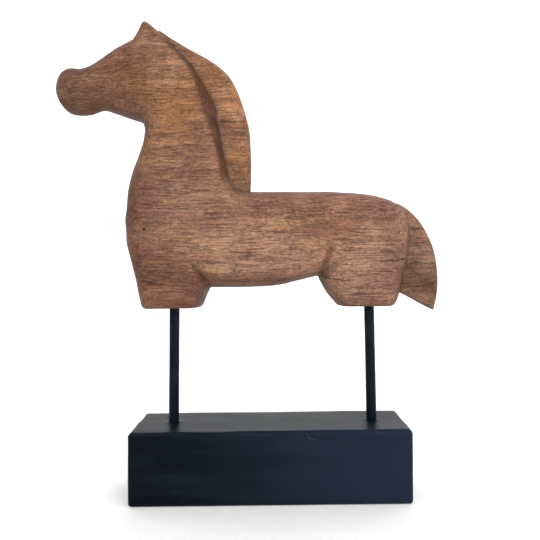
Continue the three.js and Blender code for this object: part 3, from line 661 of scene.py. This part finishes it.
block = {
    "length": 0.239, "depth": 0.086, "height": 0.062, "edge": 0.0028,
    "spacing": 0.0022, "spacingUp": 0.0014,
    "closeUp": [0.026, 0.044],  # finer lines across here, for the chip in the front edge
    "waves": [[0.06, 0.0004, 21], [0.024, 0.00016, 24], [0.009, 0.00005, 22]],  # [how long, how high, seed]
    "wornEdges": [0.0007, 0.02, 23],  # [how deep, how long, seed]
    "chipDepth": 0.0005,
    "chip": [[0.0301, 0.0622, 0.0334, 0.0562], [0.0334, 0.0562, 0.0384, 0.0552]],
    "footPaint": {"height": 0.0012, "reach": 0.0009, "endsAt": 0.01},
    "frontScratches": [[[0.0559, 0.052], [0.0775, 0.0492]], [[0.0913, 0.0082], [0.0945, 0.0015]],
                       [[-0.0813, 0.0136], [-0.0738, 0.0136]]],
    "topScratches": [[[-0.0008, -0.0383], [0.0068, -0.0383]], [[0.0421, -0.0385], [0.064, -0.0283]]],
}


def edgeLines(half, edge, spacing, window=None):
    # lines close together round the edges, even in between, and finer inside a window
    arc = edge * np.tan(np.radians([0, 11.25, 22.5, 33.75, 45]))
    count = max(2, int(round(2 * (half - edge) / spacing)))
    middle = np.linspace(edge - half, half - edge, count + 1)[1:-1]
    if window:
        middle = np.unique(np.concatenate([middle, np.arange(window[0], window[1], 0.0006)]))
        middle = middle[np.concatenate([[True], np.diff(middle) > 0.0002])]
    return np.concatenate([-(half - edge + arc)[::-1], middle, half - edge + arc])


def makeBlock():
    # the outer points of a box-shaped lattice, each pulled to an inner box and pushed out again by the
    # edge's radius, then moved along the same direction by the relief
    halves = np.array([block["length"], block["depth"], block["height"]]) / 2
    edge = block["edge"]
    lines = [edgeLines(halves[0], edge, block["spacing"], block["closeUp"]),
             edgeLines(halves[1], edge, block["spacing"]),
             edgeLines(halves[2], edge, block["spacingUp"])]
    lattice = np.stack(np.meshgrid(*lines, indexing="ij"), axis=-1)
    counts = lattice.shape[:3]
    shell = np.zeros(counts, dtype=bool)
    for axis in range(3):
        for end in (0, -1):
            np.moveaxis(shell, axis, 0)[end] = True
    numbers = np.full(counts, -1)
    numbers[shell] = np.arange(shell.sum())
    sides = []
    for axis in range(3):
        for end in (0, -1):
            side = np.moveaxis(numbers, axis, 0)[end]
            quads = np.stack([side[:-1, :-1], side[1:, :-1], side[1:, 1:], side[:-1, 1:]], axis=-1)
            quads = quads.reshape(-1, 4)
            outwards = (end == -1) != (axis == 1)
            sides.append(quads if outwards else quads[:, ::-1])
    corners = lattice[shell]
    inner = np.clip(corners, edge - halves, halves - edge)
    out = corners - inner
    out /= np.linalg.norm(out, axis=1)[:, None]
    points = inner + edge * out
    points[:, 2] += halves[2]
    x, y, z = points.T
    relief = sum(height * softNoise(points, size, seed) for size, height, seed in block["waves"])
    rounded = np.abs(out).max(axis=1) < 0.999
    wornDepth, wornLength, seed = block["wornEdges"]
    worn = softNoise(points, wornLength, seed) * 0.5 + 0.5
    relief -= rounded * worn * wornDepth
    chip = np.zeros(len(points))
    for ax, az, bx, bz in block["chip"]:
        away, along = segmentDistance(x, z, ax, az, bx, bz)
        chip = np.maximum(chip, 1 - smoothStep(0.0002, 0.0009, away))
    chip *= (y < -0.0405)
    relief -= block["chipDepth"] * chip
    collar = block["footPaint"]
    for rod in rodPlaces():
        away = np.hypot(x - rodFoot(rod), y)
        heaped = collar["height"] * np.exp(-np.maximum(away - rods["radius"], 0) / collar["reach"])
        relief += (z > 0.055) * heaped * (away < collar["endsAt"])
    relief *= smoothStep(0.0, 0.003, z)  # the underside stays flat
    points += out * relief[:, None]
    piece = meshPiece("block_painted", points, np.concatenate(sides), blockMaterial(),
                      {"worn": rounded * worn, "chip": chip})
    print("block:", len(points), "points")
    return piece


def rodFoot(rod):
    # where along X the rod's axis meets the top of the block
    soleX, soleZ = onFigure(rod["soleX"], 0)
    return soleX - (soleZ - block["height"]) * math.tan(rod["lean"])


def blockMaterial():
    paint = Paint("blockPaint")
    x, y, z = paint.axes()
    grain = paint.noise((14, 420, 420), detail=3, roughness=0.6)
    brush = paint.noise((9, 60, 60), detail=2)
    speck = paint.noise((900, 900, 900), detail=1)
    wobble = (paint.noise((220, 220, 220), detail=2) - 0.5) * 0.004
    broken = paint.noise((130, 130, 130), detail=1).between(0.42, 0.55)
    marks = paint.attribute("chip") * 0.7
    onTop = z.between(0.0585, 0.0605)
    for rod in rodPlaces():
        away = ((x - rodFoot(rod)) ** 2 + y ** 2) ** 0.5 + wobble
        ring = 1 - (away - 0.0102).size().between(0.0001, 0.00045)
        marks = marks.most(ring * broken * onTop)
    onFront = (0 - y).between(0.0415, 0.0425)
    for ends in block["frontScratches"]:
        marks = marks.most(paint.line(x, z + wobble * 0.3, ends, 0.0005) * onFront * 0.7)
    flaked = 0
    for ax, az, bx, bz in block["chip"]:
        flaked = paint.line(x, z + wobble * 0.25, ((ax, az), (bx, bz)), 0.0006).most(flaked)
    flaked = flaked * (0 - y).between(0.0405, 0.0415) * 0.6
    for ends in block["topScratches"]:
        marks = marks.most(paint.line(x, y + wobble * 0.3, ends, 0.0006) * onTop * 0.8)
    # painted light: the front face grows lighter and bluer towards the right, as if lit from that side
    paintedLightFromTheRight = x.between(-0.14, 0.16) * (0 - y).between(0.0, 0.042)
    cloudy = paint.noise((11, 11, 16), detail=2).between(0.4, 0.6)
    tone = paint.blend(brush.between(0.35, 0.65),
                       colour(0.002, 0.003, 0.0055), colour(0.0055, 0.0085, 0.0135))
    tone = paint.blend(cloudy * 0.5, tone, colour(0.003, 0.0075, 0.0085))
    # painted light on the front, lighter towards the right
    tone = paint.blend(paintedLightFromTheRight * 0.6, tone, colour(0.017, 0.026, 0.052))
    tone = paint.blend(paint.attribute("worn") * 0.2, tone, colour(0.022, 0.026, 0.034))
    tone = paint.blend(speck.between(0.72, 0.78) * 0.3, tone, colour(0.04, 0.042, 0.05))
    tone = paint.blend(marks * 0.3, tone, colour(0.035, 0.038, 0.043))
    tone = paint.blend(flaked, tone, colour(0.034, 0.04, 0.052))
    height = grain * 0.6 + brush * 0.4 - marks * 0.9 - flaked
    return paint.finish(height, 0.00025, Base_Color=tone, Roughness=brush * 0.12 + grain * 0.12 + 0.27,
                        Specular_IOR_Level=0.03)


# Room, light and camera

room = {"floor": 1.5, "curve": 0.6, "wallTop": 2.6, "sides": 96, "floorRings": 12, "curveRings": 20}
view = {"lens": 48.44, "shift": [-9.5 / 540, -4.6 / 540], "place": [0.0097, -0.649, 0.2007], "tilt": 0.0118}


def makeRoom():
    # a round sheet: a floor that curves up into a wall, its profile carried round a circle
    turn = np.linspace(0, math.pi / 2, room["curveRings"])
    flat, curve = room["floor"], room["curve"]
    floor = np.linspace(0.01, flat, room["floorRings"])[:-1]
    out = np.concatenate([floor, flat + curve * np.sin(turn), [flat + curve]])
    up = np.concatenate([floor * 0, curve - curve * np.cos(turn), [room["wallTop"]]]) - 0.0003
    around = np.linspace(0, 2 * math.pi, room["sides"], endpoint=False)
    p, a = np.meshgrid(np.arange(len(out)), around, indexing="ij")
    points = np.stack([out[p] * np.cos(a), out[p] * np.sin(a), up[p]], axis=-1).reshape(-1, 3)
    n = len(around)
    i, j = np.meshgrid(np.arange(len(out) - 1), np.arange(n), indexing="ij")
    onward = (j + 1) % n
    quads = np.stack([i * n + j, (i + 1) * n + j, (i + 1) * n + onward, i * n + onward], axis=-1)
    quads = capped(quads.reshape(-1, 4), n, 1)[:-(n // 2 - 1)]
    paper = Paint("whitePaper")
    surface = paper.noise((300, 300, 300), detail=2)
    sheet = meshPiece("white_sheet", points, quads,
                      paper.finish(surface, 0.00005, Base_Color=colour(0.9, 0.9, 0.9), Roughness=0.9,
                                   Emission_Color=colour(1, 1, 1), Emission_Strength=0.1))


def areaLight(name, where, target, size, power):
    lamp = bpy.data.lights.new(name, "AREA")
    lamp.shape = "RECTANGLE"
    lamp.size, lamp.size_y = size
    lamp.energy = power
    holder = bpy.data.objects.new(name, lamp)
    holder.location = where
    holder.rotation_euler = (Vector(target) - Vector(where)).to_track_quat("-Z", "Y").to_euler()
    bpy.context.scene.collection.objects.link(holder)


def makeLight():
    world = bpy.data.worlds.new("studio")
    bpy.context.scene.world = world
    world.use_nodes = True
    world.node_tree.nodes["Background"].inputs[0].default_value = (1, 1, 1, 1)
    world.node_tree.nodes["Background"].inputs[1].default_value = 0.15
    areaLight("overhead", (0.1, 0.1, 1.6), (0, 0.1, 0), (1.8, 1.6), 6.8)
    areaLight("keyFromTheFront", (0.45, -1.6, 1.05), (0, 0, 0.2), (0.9, 0.9), 16.2)
    areaLight("stripFromTheRight", (0.95, -0.85, 0.35), (0, 0, 0.2), (0.08, 0.9), 4.2)
    areaLight("wallWash", (0, 0.9, 1.9), (0, 1.9, 0.9), (2.4, 0.6), 27)
    bpy.context.scene.view_settings.view_transform = "Standard"


def makeCamera():
    # level, facing +Y, and turned a little about its own axis
    lens = bpy.data.cameras.new("camera")
    lens.sensor_fit = "HORIZONTAL"
    lens.sensor_width = 36
    lens.lens = view["lens"]
    lens.shift_x, lens.shift_y = view["shift"]
    lens.clip_start, lens.clip_end = 0.01, 20
    camera = bpy.data.objects.new("camera", lens)
    right, up = Vector((1, 0, -view["tilt"])).normalized(), Vector((view["tilt"], 0, 1)).normalized()
    turned = Matrix((right, up, Vector((0, -1, 0)))).transposed().to_4x4()
    camera.matrix_world = Matrix.Translation(view["place"]) @ turned
    bpy.context.scene.collection.objects.link(camera)
    bpy.context.scene.camera = camera


makeCamera()
makeRoom()
makeLight()
print("room, light and camera made")

carving = makeHorse()
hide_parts("horse")
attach(carving, "root")
for piece, node in makeRods():
    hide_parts(node)
    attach(piece, "root")
base = makeBlock()
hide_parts("block")
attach(base, "root")
